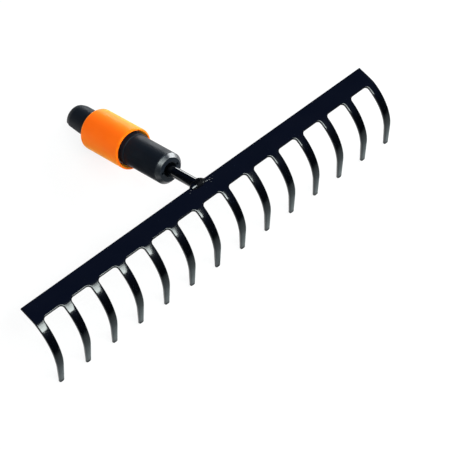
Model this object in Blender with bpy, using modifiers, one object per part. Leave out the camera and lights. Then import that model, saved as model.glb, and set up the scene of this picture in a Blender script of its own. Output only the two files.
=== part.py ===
"""Soil rake head with a sleeve-locked quick coupling.

A steel blank with fourteen tines is stamped flat and bent, and a round tang is
welded to its rear edge. A moulding grips the tang and ends in a half-round
tongue that meets the handle's own tongue. A sprung sleeve slides on the
moulding, and a ramp inside it drives the pin that locks the two tongues.

The head is drawn in the handle's frame: X along the bar, +Y along the handle
away from the head, +Z up, with the origin in the middle of the plate's rear top
edge. One empty then tilts it the way it lies on a table, on the tips of its
tines and on the lower far rim of the sleeve. Lengths are in metres.
"""

import math

import bmesh
import bpy
from mathutils import Matrix, Vector

# Stamped head
TINE_COUNT = 14
TINE_PITCH = 0.0270
TINE_ROOT_WIDTH = 0.0080
TINE_MID_WIDTH = 0.0070
TINE_TIP_WIDTH = 0.0046
TIP_CORNER_RADIUS = 0.0015
PLATE_THICKNESS = 0.0027
PLATE_DEPTH = 0.0170
NOTCH_FILLET = 0.0032
EDGE_BREAK = 0.0006
BAR_CORNER_RADIUS = 0.0008

# Side view of the head: a flat, a bend at the roots, a long sweep, a straight point
FLAT_LENGTH = 0.0133
FLAT_SLOPE = math.radians(27.0)
ROOT_BEND_LENGTH = 0.0055
ROOT_BEND_SLOPE = math.radians(44.5)
SWEEP_LENGTH = 0.0435
POINT_SLOPE = math.radians(108.0)
POINT_LENGTH = 0.0202
MID_WIDTH_AT = 0.55

# Tang and weld
TANG_DIAMETER = 0.0090
TANG_DROP = 0.0024
WELD_HALF_WIDTH = 0.0074
WELD_HALF_LENGTH = 0.0044
WELD_THROAT = 0.0007
WELD_OVER_PLATE = 0.0009
TANG_END_WALL = 0.0050
TANG_PIN_DIAMETER = 0.0035
TANG_PIN_BEHIND_SHOULDER = 0.0085
TANG_PIN_SET_BACK = 0.0006

# Socket moulding
BODY_START = 0.0340
CORE_DIAMETER = 0.0249
SHOULDER_HEIGHT = 0.00185
BARREL_STEP = 0.0008
BARREL_END_CHAMFER = 0.0030
LAND_AHEAD_OF_SLEEVE = 0.0030
SHOULDER_INSIDE_SLEEVE = 0.0030
ENTRY_RECESS_WALL = 0.0018
ENTRY_RECESS_DEPTH = 0.0060
MOULD_PIN_DIAMETER = 0.0024
MOULD_PIN_DEPTH = 0.0060
MOULD_PIN_WALL = 0.0004
MOULD_PIN_RISE = math.radians(8.7)

# Tongue
TONGUE_OUT = 0.0275
TONGUE_LEAD_LENGTH = 0.0044
TONGUE_LEAD_DROP = 0.0010
TONGUE_END_BREAK = 0.0003
SCARF_BEHIND_GROOVE = 0.0015
SCARF_AT_SLEEVE = -0.0022
SCARF_SLOPE = math.radians(9.2)

# Sleeve
SLEEVE_START = 0.0810
SLEEVE_LENGTH = 0.0480
SPRING_ROOM = 0.00375
SLEEVE_WALL = 0.0018
SLEEVE_RIM_ROUND = 0.0006
SLEEVE_NEAR_ROUND = 0.0014
SLEEVE_TRAVEL = 0.0080
WEB_AT = 0.0210
WEB_THICKNESS = 0.0025
RING_WIRE = 0.0014

# Locking pin and its ramp
LOCK_INSIDE_SLEEVE = 0.0110
LOCK_PIN_DIAMETER = 0.0050
LOCK_HEAD_DIAMETER = 0.0080
LOCK_HEAD_THICKNESS = 0.0012
LOCK_DOME_HEIGHT = 0.0007
LOCK_REACH = 0.0020
LOCK_LIFT = 0.0018
LOCK_SPRING_LENGTH = 0.0044
RAMP_WIDTH = 0.0060
RAMP_LEAD = 0.0030

# Springs
SPRING_WIRE = 0.0014
SPRING_CURLS = 6.0
LOCK_SPRING_WIRE = 0.0006
LOCK_SPRING_CURLS = 3.0
CURL_POINTS = 10
CLOSED_CURL_GAP = 0.00045

# Gap between pieces that touch on the real head
CLEARANCE = 0.0003
TURNED_STEPS = 64
SMALL_STEPS = 24

BAR_LENGTH = (TINE_COUNT - 1) * TINE_PITCH + TINE_ROOT_WIDTH
TINE_LENGTH = FLAT_LENGTH + ROOT_BEND_LENGTH + SWEEP_LENGTH + POINT_LENGTH
TANG_RADIUS = TANG_DIAMETER / 2
CORE_RADIUS = CORE_DIAMETER / 2
LAND_RADIUS = CORE_RADIUS + SHOULDER_HEIGHT
BARREL_RADIUS = LAND_RADIUS - BARREL_STEP
SLEEVE_BORE = CORE_RADIUS + SPRING_ROOM
SLEEVE_RADIUS = SLEEVE_BORE + SLEEVE_WALL
SPRING_RADIUS = CORE_RADIUS + SPRING_ROOM / 2
SLEEVE_END = SLEEVE_START + SLEEVE_LENGTH
TONGUE_END = SLEEVE_END + TONGUE_OUT
SHOULDER = SLEEVE_START + SHOULDER_INSIDE_SLEEVE
WEB_START = SLEEVE_START + WEB_AT
WEB_END = WEB_START + WEB_THICKNESS
RING_CENTRE = WEB_END + CLEARANCE + RING_WIRE / 2
RING_GROOVE = RING_WIRE / 2 + CLEARANCE
SCARF_START = RING_CENTRE + RING_GROOVE + SCARF_BEHIND_GROOVE
TANG_END = SCARF_START - TANG_END_WALL
TANG_PIN_AT = SHOULDER + TANG_PIN_BEHIND_SHOULDER
ENTRY_RADIUS = TANG_RADIUS + ENTRY_RECESS_WALL
MOULD_PIN_REACH = ENTRY_RADIUS + MOULD_PIN_WALL + MOULD_PIN_DIAMETER / 2
LOCK_Y = SLEEVE_END - LOCK_INSIDE_SLEEVE
LOCK_TOP = CORE_RADIUS
LOCK_SPRING_RADIUS = (LOCK_PIN_DIAMETER + LOCK_HEAD_DIAMETER) / 4
RAMP_GRADE = LOCK_LIFT / SLEEVE_TRAVEL

# Turns a mesh drawn along local Z so that it runs along the handle
ALONG_HANDLE = Matrix.Rotation(-math.pi / 2, 4, "X")
# Turns an outline drawn in local XY into the side view, with its width along X
SIDE_VIEW = Matrix(((0, 0, 1, 0), (1, 0, 0, 0), (0, 1, 0, 0), (0, 0, 0, 1)))


def clear_scene():
    for obj in list(bpy.data.objects):
        bpy.data.objects.remove(obj, do_unlink=True)


def new_collection(name):
    collection = bpy.data.collections.new(name)
    bpy.context.scene.collection.children.link(collection)
    return collection


def new_material(name, colour, roughness, metallic):
    material = bpy.data.materials.new(name)
    material.use_nodes = True
    shader = material.node_tree.nodes["Principled BSDF"]
    shader.inputs["Base Color"].default_value = (*colour, 1.0)
    shader.inputs["Roughness"].default_value = roughness
    shader.inputs["Metallic"].default_value = metallic
    material.diffuse_color = (*colour, 1.0)
    return material


def place(name, data, collection, parent, material=None, at=(0, 0, 0)):
    obj = bpy.data.objects.new(name, data)
    collection.objects.link(obj)
    obj.parent = parent
    obj.location = at
    if material:
        data.materials.append(material)
    return obj


def mesh_from_curve(curve):
    """Turn a curve into a mesh whose caps are welded to its sides."""
    source = bpy.data.objects.new(curve.name, curve)
    bpy.context.scene.collection.objects.link(source)
    graph = bpy.context.evaluated_depsgraph_get()
    mesh = bpy.data.meshes.new_from_object(source.evaluated_get(graph))
    bpy.data.objects.remove(source, do_unlink=True)
    shape = bmesh.new()
    shape.from_mesh(mesh)
    bmesh.ops.remove_doubles(shape, verts=shape.verts, dist=0.000001)
    bmesh.ops.recalc_face_normals(shape, faces=shape.faces)
    shape.to_mesh(mesh)
    shape.free()
    return mesh


def outline_mesh(name, outline, thickness, edge_break=0.0):
    """A flat outline in XY, filled, centred on Z = 0, with its edges broken."""
    curve = bpy.data.curves.new(name, "CURVE")
    curve.dimensions = "2D"
    curve.fill_mode = "BOTH"
    curve.extrude = thickness / 2 - edge_break
    curve.bevel_depth = edge_break
    curve.bevel_resolution = 0
    curve.offset = -edge_break
    spline = curve.splines.new("POLY")
    spline.points.add(len(outline) - 1)
    for point, (x, y) in zip(spline.points, outline):
        point.co = (x, y, 0, 1)
    spline.use_cyclic_u = True
    return mesh_from_curve(curve)


def side_mesh(name, outline, width):
    """An outline of (y, z) points in side view, as wide as given along X."""
    mesh = outline_mesh(name, outline, width)
    mesh.transform(SIDE_VIEW)
    return mesh


def turned(name, profile, closed, steps, collection, parent, material=None, at=(0, 0, 0)):
    """Turn (radius, height) points round local Z, listed down the outer side."""
    mesh = bpy.data.meshes.new(name)
    points = [(radius, 0, height) for radius, height in profile]
    edges = [(i, i + 1) for i in range(len(points) - 1)]
    if closed:
        edges.append((len(points) - 1, 0))
    mesh.from_pydata(points, edges, [])
    obj = place(name, mesh, collection, parent, material, at)
    screw = obj.modifiers.new("turn", "SCREW")
    screw.steps = steps
    screw.render_steps = steps
    screw.use_merge_vertices = True
    screw.merge_threshold = 0.00001
    screw.use_smooth_shade = True
    return obj


def cylinder(name, radius, length, steps, collection, parent, material=None, chamfer=0.0):
    """A cylinder along local Z from 0 to its length, with optional end chamfers."""
    mesh = bpy.data.meshes.new(name)
    shape = bmesh.new()
    bmesh.ops.create_cone(shape, cap_ends=True, segments=steps,
                          radius1=radius, radius2=radius, depth=length)
    bmesh.ops.translate(shape, verts=shape.verts, vec=(0, 0, length / 2))
    if chamfer:
        rims = [e for e in shape.edges if abs(e.verts[0].co.z - e.verts[1].co.z) < 1e-7]
        bmesh.ops.bevel(shape, geom=rims, offset=chamfer, segments=1, affect="EDGES")
    shape.to_mesh(mesh)
    shape.free()
    return place(name, mesh, collection, parent, material)


def along_handle(obj, y, x=0.0, z=0.0):
    """Lay a piece drawn along Z on the handle's axis, starting at y."""
    obj.rotation_euler = ALONG_HANDLE.to_euler()
    obj.location = (x, y, z - TANG_DROP)
    return obj


def across(obj, y, z=0.0):
    """Lay a cylinder drawn along Z across the handle's axis, along +X."""
    obj.rotation_euler = (0, math.pi / 2, 0)
    length = max(v.co.z for v in obj.data.vertices)
    obj.location = (-length / 2, y, z - TANG_DROP)
    return obj


def hide_cutter(obj):
    obj.hide_render = True
    obj.display_type = "WIRE"
    return obj


def combine(obj, other, operation):
    boolean = obj.modifiers.new(other.name, "BOOLEAN")
    boolean.operation = operation
    boolean.solver = "EXACT"
    boolean.object = other


def arc(centre, radius, start, end, pieces):
    """Points on an arc, both ends included; angles in degrees."""
    points = []
    for i in range(pieces + 1):
        angle = math.radians(start + (end - start) * i / pieces)
        points.append((centre[0] + radius * math.cos(angle),
                       centre[1] + radius * math.sin(angle)))
    return points


def tine_width(distance):
    """Width of a tine at a distance from the rear edge, along the blank."""
    root = PLATE_DEPTH + NOTCH_FILLET
    middle = root + (TINE_LENGTH - root) * MID_WIDTH_AT
    if distance <= root:
        return TINE_ROOT_WIDTH
    if distance <= middle:
        share = (distance - root) / (middle - root)
        return TINE_ROOT_WIDTH + (TINE_MID_WIDTH - TINE_ROOT_WIDTH) * share
    share = (distance - middle) / (TINE_LENGTH - middle)
    return TINE_MID_WIDTH + (TINE_TIP_WIDTH - TINE_MID_WIDTH) * share


def blank_outline():
    """Outline of the flat blank: rear edge at y = 0, tines towards -y."""
    half_bar = BAR_LENGTH / 2
    root = PLATE_DEPTH + NOTCH_FILLET
    middle = root + (TINE_LENGTH - root) * MID_WIDTH_AT
    corner = BAR_CORNER_RADIUS
    points = arc((-half_bar + corner, -corner), corner, 180, 90, 2)
    points += arc((half_bar - corner, -corner), corner, 90, 0, 2)
    for i in reversed(range(TINE_COUNT)):
        centre = (i - (TINE_COUNT - 1) / 2) * TINE_PITCH
        if i < TINE_COUNT - 1:
            fillet = (centre + TINE_ROOT_WIDTH / 2 + NOTCH_FILLET, -root)
            points += arc(fillet, NOTCH_FILLET, 90, 180, 5)
        else:
            points.append((centre + TINE_ROOT_WIDTH / 2, -root))
        points.append((centre + tine_width(middle) / 2, -middle))
        tip = TINE_TIP_WIDTH / 2 - TIP_CORNER_RADIUS
        tip_y = -TINE_LENGTH + TIP_CORNER_RADIUS
        points += arc((centre + tip, tip_y), TIP_CORNER_RADIUS, 0, -90, 4)
        points += arc((centre - tip, tip_y), TIP_CORNER_RADIUS, -90, -180, 4)
        points.append((centre - tine_width(middle) / 2, -middle))
        if i > 0:
            fillet = (centre - TINE_ROOT_WIDTH / 2 - NOTCH_FILLET, -root)
            points += arc(fillet, NOTCH_FILLET, 0, 90, 5)
        else:
            points.append((centre - TINE_ROOT_WIDTH / 2, -root))
    return points


def side_station(distance):
    """Point (y, z) and slope of the bent blank's outer face in side view."""
    stages = ((FLAT_LENGTH, FLAT_SLOPE, FLAT_SLOPE),
              (ROOT_BEND_LENGTH, FLAT_SLOPE, ROOT_BEND_SLOPE),
              (SWEEP_LENGTH, ROOT_BEND_SLOPE, POINT_SLOPE),
              (POINT_LENGTH, POINT_SLOPE, POINT_SLOPE))
    y = 0.0
    z = 0.0
    left = distance
    slope = FLAT_SLOPE
    for number, (length, start, end) in enumerate(stages):
        last = number == len(stages) - 1
        run = left if last else min(left, length)
        bend = (end - start) / length
        slope = start + bend * run
        if abs(bend) < 1e-9:
            y -= run * math.cos(start)
            z -= run * math.sin(start)
        else:
            y -= (math.sin(slope) - math.sin(start)) / bend
            z += (math.cos(slope) - math.cos(start)) / bend
        left -= run
        if left <= 0:
            break
    return y, z, slope


def bend_rows():
    """Distances along the blank where it gets a row of points to bend at."""
    rows = [FLAT_LENGTH, FLAT_LENGTH + ROOT_BEND_LENGTH / 2, PLATE_DEPTH]
    sweep_start = FLAT_LENGTH + ROOT_BEND_LENGTH
    pieces = 10
    rows += [sweep_start + SWEEP_LENGTH * i / pieces for i in range(pieces + 1)]
    return rows


def make_rake_head(collection, parent, material):
    """Cut the flat blank, score it in rows, and bend it into the rake."""
    mesh = outline_mesh("rake_head", blank_outline(), PLATE_THICKNESS, EDGE_BREAK)
    shape = bmesh.new()
    shape.from_mesh(mesh)
    for row in bend_rows():
        everything = shape.verts[:] + shape.edges[:] + shape.faces[:]
        bmesh.ops.bisect_plane(shape, geom=everything, dist=0.000001,
                               plane_co=(0, -row, 0), plane_no=(0, 1, 0))
    for vert in shape.verts:
        x, flat_y, height = vert.co
        y, z, slope = side_station(-flat_y)
        rise = height - PLATE_THICKNESS / 2
        vert.co = (x, y - rise * math.sin(slope), z + rise * math.cos(slope))
    shape.to_mesh(mesh)
    shape.free()
    return place("rake_head", mesh, collection, parent, material)


def make_weld(collection, cutters, parent, material, tang_start):
    """A lumpy bead round the tang, open where the plate and the tang are."""
    mesh = bpy.data.meshes.new("tang_weld")
    shape = bmesh.new()
    bmesh.ops.create_uvsphere(shape, u_segments=28, v_segments=16, radius=1.0)
    half_height = TANG_RADIUS + WELD_THROAT
    for vert in shape.verts:
        round_bead = math.atan2(vert.co.y, vert.co.x)
        ripple = 1 + 0.035 * math.sin(7 * round_bead) * (1 - vert.co.z ** 2)
        ripple += 0.02 * math.sin(5 * vert.co.z + 2 * round_bead)
        vert.co = (vert.co.x * WELD_HALF_WIDTH * ripple,
                   vert.co.z * WELD_HALF_LENGTH,
                   -vert.co.y * half_height * ripple)
    shape.to_mesh(mesh)
    shape.free()
    weld = place("tang_weld", mesh, collection, parent, material,
                 (0, tang_start - WELD_OVER_PLATE, -TANG_DROP))
    path = cylinder("weld_tang_path", TANG_RADIUS + CLEARANCE, WELD_HALF_LENGTH * 3,
                    SMALL_STEPS, cutters, parent)
    along_handle(hide_cutter(path), tang_start - CLEARANCE)
    slope_y = math.cos(FLAT_SLOPE)
    slope_z = math.sin(FLAT_SLOPE)
    corners = []
    for along, up in ((-CLEARANCE, CLEARANCE), (FLAT_LENGTH, CLEARANCE),
                      (FLAT_LENGTH, -PLATE_THICKNESS - CLEARANCE),
                      (-CLEARANCE, -PLATE_THICKNESS - CLEARANCE)):
        corners.append((-along * slope_y - up * slope_z, -along * slope_z + up * slope_y))
    slab = side_mesh("weld_plate_path", corners, WELD_HALF_WIDTH * 4)
    slab = hide_cutter(place("weld_plate_path", slab, cutters, parent))
    combine(weld, path, "DIFFERENCE")
    combine(weld, slab, "DIFFERENCE")
    return weld


def body_profile():
    """Socket moulding from the tongue's end to the tang's entry, as turned."""
    groove = RING_GROOVE
    groove_floor = CORE_RADIUS - RING_WIRE / 2
    land_start = SLEEVE_START - LAND_AHEAD_OF_SLEEVE
    flare = LAND_RADIUS - BARREL_RADIUS
    points = [(0, TONGUE_END),
              (CORE_RADIUS - TONGUE_LEAD_DROP - TONGUE_END_BREAK, TONGUE_END),
              (CORE_RADIUS - TONGUE_LEAD_DROP, TONGUE_END - TONGUE_END_BREAK),
              (CORE_RADIUS, TONGUE_END - TONGUE_LEAD_LENGTH),
              (CORE_RADIUS, RING_CENTRE + groove),
              (groove_floor, RING_CENTRE + groove),
              (groove_floor, RING_CENTRE - groove),
              (CORE_RADIUS, RING_CENTRE - groove),
              (CORE_RADIUS, SHOULDER),
              (LAND_RADIUS, SHOULDER),
              (LAND_RADIUS, land_start),
              (BARREL_RADIUS, land_start - flare),
              (BARREL_RADIUS, BODY_START + BARREL_END_CHAMFER),
              (BARREL_RADIUS - BARREL_END_CHAMFER, BODY_START),
              (0, BODY_START)]
    return points


def scarf_height(y):
    """Height of the tongue's flat underside above the handle's axis."""
    return SCARF_AT_SLEEVE + (y - SLEEVE_END) * math.tan(SCARF_SLOPE)


def make_body(collection, cutters, parent, material):
    body = turned("socket_body", body_profile(), False, TURNED_STEPS,
                  collection, parent, material)
    along_handle(body, 0)
    past_end = TONGUE_END + SLEEVE_RADIUS
    below = -2 * SLEEVE_RADIUS
    scarf = [(SCARF_START, scarf_height(SCARF_START)), (SCARF_START, below),
             (past_end, below), (past_end, scarf_height(past_end))]
    scarf = side_mesh("scarf_cut", scarf, SLEEVE_RADIUS * 3)
    scarf = hide_cutter(place("scarf_cut", scarf, cutters, parent, at=(0, 0, -TANG_DROP)))
    combine(body, scarf, "DIFFERENCE")

    bore = cylinder("tang_bore", TANG_RADIUS + CLEARANCE, TANG_END + CLEARANCE - BODY_START / 2,
                    32, cutters, parent)
    along_handle(hide_cutter(bore), BODY_START / 2)
    combine(body, bore, "DIFFERENCE")

    recess = cylinder("entry_recess", ENTRY_RADIUS,
                      BODY_START / 2 + ENTRY_RECESS_DEPTH, 32, cutters, parent)
    along_handle(hide_cutter(recess), BODY_START / 2)
    combine(body, recess, "DIFFERENCE")

    for side, label in ((-1, "left"), (1, "right")):
        hole = cylinder("mould_pin_" + label, MOULD_PIN_DIAMETER / 2,
                        MOULD_PIN_DEPTH * 2, 16, cutters, parent)
        along_handle(hide_cutter(hole), BODY_START - MOULD_PIN_DEPTH,
                     side * MOULD_PIN_REACH * math.cos(MOULD_PIN_RISE),
                     MOULD_PIN_REACH * math.sin(MOULD_PIN_RISE))
        combine(body, hole, "DIFFERENCE")

    pin_hole = cylinder("tang_pin_hole", TANG_PIN_DIAMETER / 2 + CLEARANCE,
                        CORE_DIAMETER * 1.5, 20, cutters, parent)
    across(hide_cutter(pin_hole), TANG_PIN_AT)
    combine(body, pin_hole, "DIFFERENCE")

    lock_bore = cylinder("lock_bore", LOCK_PIN_DIAMETER / 2 + CLEARANCE, CORE_DIAMETER * 2,
                         SMALL_STEPS, cutters, parent)
    hide_cutter(lock_bore).location = (0, LOCK_Y, -TANG_DROP - CORE_DIAMETER)
    combine(body, lock_bore, "DIFFERENCE")

    seat = lock_spring_seat()
    lock_well = cylinder("lock_well", LOCK_HEAD_DIAMETER / 2 + CLEARANCE, CORE_DIAMETER,
                         SMALL_STEPS, cutters, parent)
    hide_cutter(lock_well).location = (0, LOCK_Y, seat - TANG_DROP)
    combine(body, lock_well, "DIFFERENCE")
    return body, pin_hole


def lock_head_underside():
    return LOCK_TOP - LOCK_DOME_HEIGHT - LOCK_HEAD_THICKNESS


def lock_spring_seat():
    return lock_head_underside() - LOCK_SPRING_LENGTH - 2 * CLEARANCE


def make_sleeve(collection, cutters, parent, material):
    """The sleeve with its inner web and the ramp that drives the pin."""
    rim = SLEEVE_RIM_ROUND
    near = SLEEVE_NEAR_ROUND
    web_bore = CORE_RADIUS + CLEARANCE
    end = SLEEVE_LENGTH
    web_end = WEB_AT + WEB_THICKNESS
    profile = [(SLEEVE_BORE, end - rim), (SLEEVE_BORE + rim * 0.4, end - rim * 0.2),
               (SLEEVE_RADIUS - rim, end), (SLEEVE_RADIUS - rim * 0.3, end - rim * 0.3),
               (SLEEVE_RADIUS, end - rim)]
    profile += arc((SLEEVE_RADIUS - near, near), near, 0, -90, 4)
    profile += [(SLEEVE_BORE, rim * 0.6), (SLEEVE_BORE, WEB_AT), (web_bore, WEB_AT),
                (web_bore, web_end), (SLEEVE_BORE, web_end)]
    sleeve = turned("release_sleeve", profile, True, TURNED_STEPS, collection, parent, material)
    along_handle(sleeve, SLEEVE_START)
    foot = LOCK_TOP + CLEARANCE
    ramp_end = SLEEVE_END - rim
    ramp_top = SLEEVE_BORE + SLEEVE_WALL / 2
    ramp = [(LOCK_Y - RAMP_LEAD, foot), (LOCK_Y, foot),
            (ramp_end, foot + (ramp_end - LOCK_Y) * RAMP_GRADE),
            (ramp_end, ramp_top), (LOCK_Y - RAMP_LEAD, ramp_top)]
    ramp = side_mesh("lock_ramp", ramp, RAMP_WIDTH)
    ramp = hide_cutter(place("lock_ramp", ramp, cutters, parent, at=(0, 0, -TANG_DROP)))
    combine(sleeve, ramp, "UNION")
    return sleeve


def coil_points(radius, wire, length, curls):
    """Points on a compression spring along Z with closed curls at both ends."""
    closed_rise = wire + CLOSED_CURL_GAP
    open_curls = curls - 2
    open_rise = (length - wire - 2 * closed_rise) / open_curls
    points = []
    for i in range(int(round(curls * CURL_POINTS)) + 1):
        turn = i / CURL_POINTS
        first = min(turn, 1.0)
        middle = min(max(turn - 1.0, 0.0), open_curls)
        last = max(turn - 1.0 - open_curls, 0.0)
        height = wire / 2 + (first + last) * closed_rise + middle * open_rise
        angle = 2 * math.pi * turn
        points.append(Vector((radius * math.cos(angle), radius * math.sin(angle), height)))
    return points


def least_gap(points, wire):
    """Least distance between the wire's surfaces on different curls."""
    least = math.inf
    for i, here in enumerate(points):
        for there in points[i + CURL_POINTS - 1:]:
            least = min(least, (there - here).length - wire)
    return least


def make_spring(name, radius, wire, length, curls, collection, parent, material):
    points = coil_points(radius, wire, length, curls)
    curve = bpy.data.curves.new(name, "CURVE")
    curve.dimensions = "3D"
    curve.bevel_depth = wire / 2
    curve.bevel_resolution = 1
    curve.use_fill_caps = True
    spline = curve.splines.new("POLY")
    spline.points.add(len(points) - 1)
    for point, co in zip(spline.points, points):
        point.co = (*co, 1)
    print(name, "least gap between curls", round(least_gap(points, wire) * 1000, 3), "mm")
    return place(name, curve, collection, parent, material)


def make_retaining_ring(collection, parent, material):
    """An open wire ring in the groove behind the sleeve's web."""
    curve = bpy.data.curves.new("retaining_ring", "CURVE")
    curve.dimensions = "3D"
    curve.bevel_depth = RING_WIRE / 2
    curve.bevel_resolution = 1
    curve.use_fill_caps = True
    radius = CORE_RADIUS + CLEARANCE
    spline = curve.splines.new("POLY")
    pieces = 36
    spline.points.add(pieces)
    for i, point in enumerate(spline.points):
        angle = math.radians(-75 + 330 * i / pieces)
        point.co = (radius * math.cos(angle), radius * math.sin(angle), 0, 1)
    ring = place("retaining_ring", curve, collection, parent, material)
    return along_handle(ring, RING_CENTRE)


def make_lock_pin(collection, parent, material):
    """The pin, turned round Z, with a domed head and a chamfered point."""
    point = scarf_height(LOCK_Y) - LOCK_REACH
    underside = lock_head_underside()
    edge = underside + LOCK_HEAD_THICKNESS
    radius = LOCK_PIN_DIAMETER / 2
    head = LOCK_HEAD_DIAMETER / 2
    profile = [(0, LOCK_TOP), (head * 0.35, LOCK_TOP - LOCK_DOME_HEIGHT * 0.12),
               (head * 0.7, LOCK_TOP - LOCK_DOME_HEIGHT * 0.49), (head, edge),
               (head, underside), (radius, underside),
               (radius, point + radius * 0.3), (radius * 0.7, point), (0, point)]
    return turned("lock_pin", profile, False, SMALL_STEPS, collection, parent, material,
                  (0, LOCK_Y, -TANG_DROP))


def world_points(obj):
    graph = bpy.context.evaluated_depsgraph_get()
    evaluated = obj.evaluated_get(graph)
    mesh = evaluated.to_mesh()
    points = [evaluated.matrix_world @ v.co for v in mesh.vertices]
    evaluated.to_mesh_clear()
    return points


def rest_on_table(frame, head, sleeve, pieces):
    """Tilt the frame until tips and sleeve touch one level, then centre it."""
    head_points = world_points(head)
    sleeve_points = world_points(sleeve)
    low = 0.0
    high = math.radians(60)
    for _ in range(50):
        tilt = (low + high) / 2
        turn = Matrix.Rotation(-tilt, 3, "X")
        head_low = min((turn @ p).z for p in head_points)
        sleeve_low = min((turn @ p).z for p in sleeve_points)
        if sleeve_low > head_low:
            low = tilt
        else:
            high = tilt
    frame.rotation_euler = (-tilt, 0, 0)
    bpy.context.view_layer.update()
    points = [p for piece in pieces for p in world_points(piece)]
    across_x = (min(p.x for p in points) + max(p.x for p in points)) / 2
    across_y = (min(p.y for p in points) + max(p.y for p in points)) / 2
    frame.location = (-across_x, -across_y, -min(p.z for p in points))
    bpy.context.view_layer.update()
    return tilt


def build():
    clear_scene()
    parts = new_collection("soil_rake")
    cutters = new_collection("soil_rake_cutters")
    frame = bpy.data.objects.new("handle_frame", None)
    parts.objects.link(frame)

    painted = new_material("black_painted_steel", (0.012, 0.014, 0.020), 0.22, 0.0)
    weld_paint = new_material("painted_weld", (0.014, 0.016, 0.022), 0.30, 0.0)
    black = new_material("black_nylon", (0.020, 0.022, 0.026), 0.45, 0.0)
    orange = new_material("orange_nylon", (0.95, 0.16, 0.005), 0.35, 0.0)
    spring = new_material("spring_steel", (0.42, 0.42, 0.44), 0.30, 1.0)
    pin_steel = new_material("ground_steel", (0.55, 0.55, 0.57), 0.25, 1.0)

    tang_start = (PLATE_THICKNESS - EDGE_BREAK) * math.sin(FLAT_SLOPE) + CLEARANCE
    head = make_rake_head(parts, frame, painted)
    tang = cylinder("tang", TANG_RADIUS, TANG_END - tang_start, 32, parts, frame,
                    painted, chamfer=0.0004)
    along_handle(tang, tang_start)
    weld = make_weld(parts, cutters, frame, weld_paint, tang_start)
    body, pin_hole = make_body(parts, cutters, frame, black)
    combine(tang, pin_hole, "DIFFERENCE")
    tang_pin = cylinder("tang_pin", TANG_PIN_DIAMETER / 2, CORE_DIAMETER - 2 * TANG_PIN_SET_BACK,
                        20, parts, frame, pin_steel, chamfer=0.0003)
    across(tang_pin, TANG_PIN_AT)
    sleeve = make_sleeve(parts, cutters, frame, orange)
    sleeve_spring = make_spring("sleeve_spring", SPRING_RADIUS, SPRING_WIRE,
                                WEB_START - SHOULDER - 2 * CLEARANCE, SPRING_CURLS,
                                parts, frame, spring)
    along_handle(sleeve_spring, SHOULDER + CLEARANCE)
    ring = make_retaining_ring(parts, frame, spring)
    lock_pin = make_lock_pin(parts, frame, pin_steel)
    lock_spring = make_spring("lock_pin_spring", LOCK_SPRING_RADIUS, LOCK_SPRING_WIRE,
                              LOCK_SPRING_LENGTH, LOCK_SPRING_CURLS, parts, frame, spring)
    lock_spring.location = (0, LOCK_Y, lock_spring_seat() + CLEARANCE - TANG_DROP)

    pieces = [head, tang, weld, body, tang_pin, sleeve, sleeve_spring, ring,
              lock_pin, lock_spring]
    for piece in (head, tang, weld, tang_pin):
        piece.data.shade_smooth()
        piece.data.set_sharp_from_angle(angle=math.radians(35))
    bpy.context.view_layer.update()
    tilt = rest_on_table(frame, head, sleeve, pieces)
    print("rest tilt", round(math.degrees(tilt), 4), "degrees")
    print("frame location", [round(c, 6) for c in frame.location])


build()
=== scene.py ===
"""Looks of the soil rake head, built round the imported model.

Each visible piece is rebuilt here at full smoothness in the place of its CAD
node; only the tang's cross pin keeps its CAD mesh. Pieces are drawn in the
handle's frame: X along the bar, +Y along the handle away from the head, +Z up,
origin at the plate's rear top edge. HANDLE then lays them on the table.
Lengths are in metres.
"""

import math

import bmesh
import bpy
from mathutils import Euler, Matrix, Vector, noise


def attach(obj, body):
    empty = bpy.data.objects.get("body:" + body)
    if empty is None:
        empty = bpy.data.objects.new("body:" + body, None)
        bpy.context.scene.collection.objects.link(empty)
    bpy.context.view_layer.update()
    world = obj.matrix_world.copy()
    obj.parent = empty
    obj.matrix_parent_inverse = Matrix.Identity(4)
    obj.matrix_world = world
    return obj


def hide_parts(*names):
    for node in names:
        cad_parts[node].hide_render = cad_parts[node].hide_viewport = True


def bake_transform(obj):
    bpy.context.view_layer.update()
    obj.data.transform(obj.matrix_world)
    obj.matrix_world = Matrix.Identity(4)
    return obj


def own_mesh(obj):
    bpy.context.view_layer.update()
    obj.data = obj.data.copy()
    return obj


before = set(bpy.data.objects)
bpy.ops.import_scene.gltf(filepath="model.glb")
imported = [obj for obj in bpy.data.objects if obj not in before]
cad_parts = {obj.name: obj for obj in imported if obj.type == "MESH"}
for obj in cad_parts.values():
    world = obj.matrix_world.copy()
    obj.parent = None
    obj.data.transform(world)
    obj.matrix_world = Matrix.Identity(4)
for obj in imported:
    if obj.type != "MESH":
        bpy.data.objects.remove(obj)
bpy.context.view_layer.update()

# How the head lies on the table
TILT = math.radians(17.9991)
FRAME_AT = (0.0, -0.055727, 0.059078)
HANDLE = Matrix.Translation(FRAME_AT) @ Matrix.Rotation(-TILT, 4, "X")

# Stamped head
TINE_COUNT = 14
TINE_PITCH = 0.0270
TINE_ROOT_WIDTH = 0.0080
TINE_MID_WIDTH = 0.0070
TINE_TIP_WIDTH = 0.0046
TIP_CORNER_RADIUS = 0.0015
PLATE_THICKNESS = 0.0027
PLATE_DEPTH = 0.0170
NOTCH_FILLET = 0.0032
EDGE_RADIUS = 0.0011
BAR_CORNER_RADIUS = 0.0008
FLAT_LENGTH = 0.0133
FLAT_SLOPE = math.radians(27.0)
ROOT_BEND_LENGTH = 0.0055
ROOT_BEND_SLOPE = math.radians(44.5)
SWEEP_LENGTH = 0.0435
POINT_SLOPE = math.radians(108.0)
POINT_LENGTH = 0.0202
MID_WIDTH_AT = 0.55
BAR_LENGTH = (TINE_COUNT - 1) * TINE_PITCH + TINE_ROOT_WIDTH
TINE_LENGTH = FLAT_LENGTH + ROOT_BEND_LENGTH + SWEEP_LENGTH + POINT_LENGTH
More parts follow.
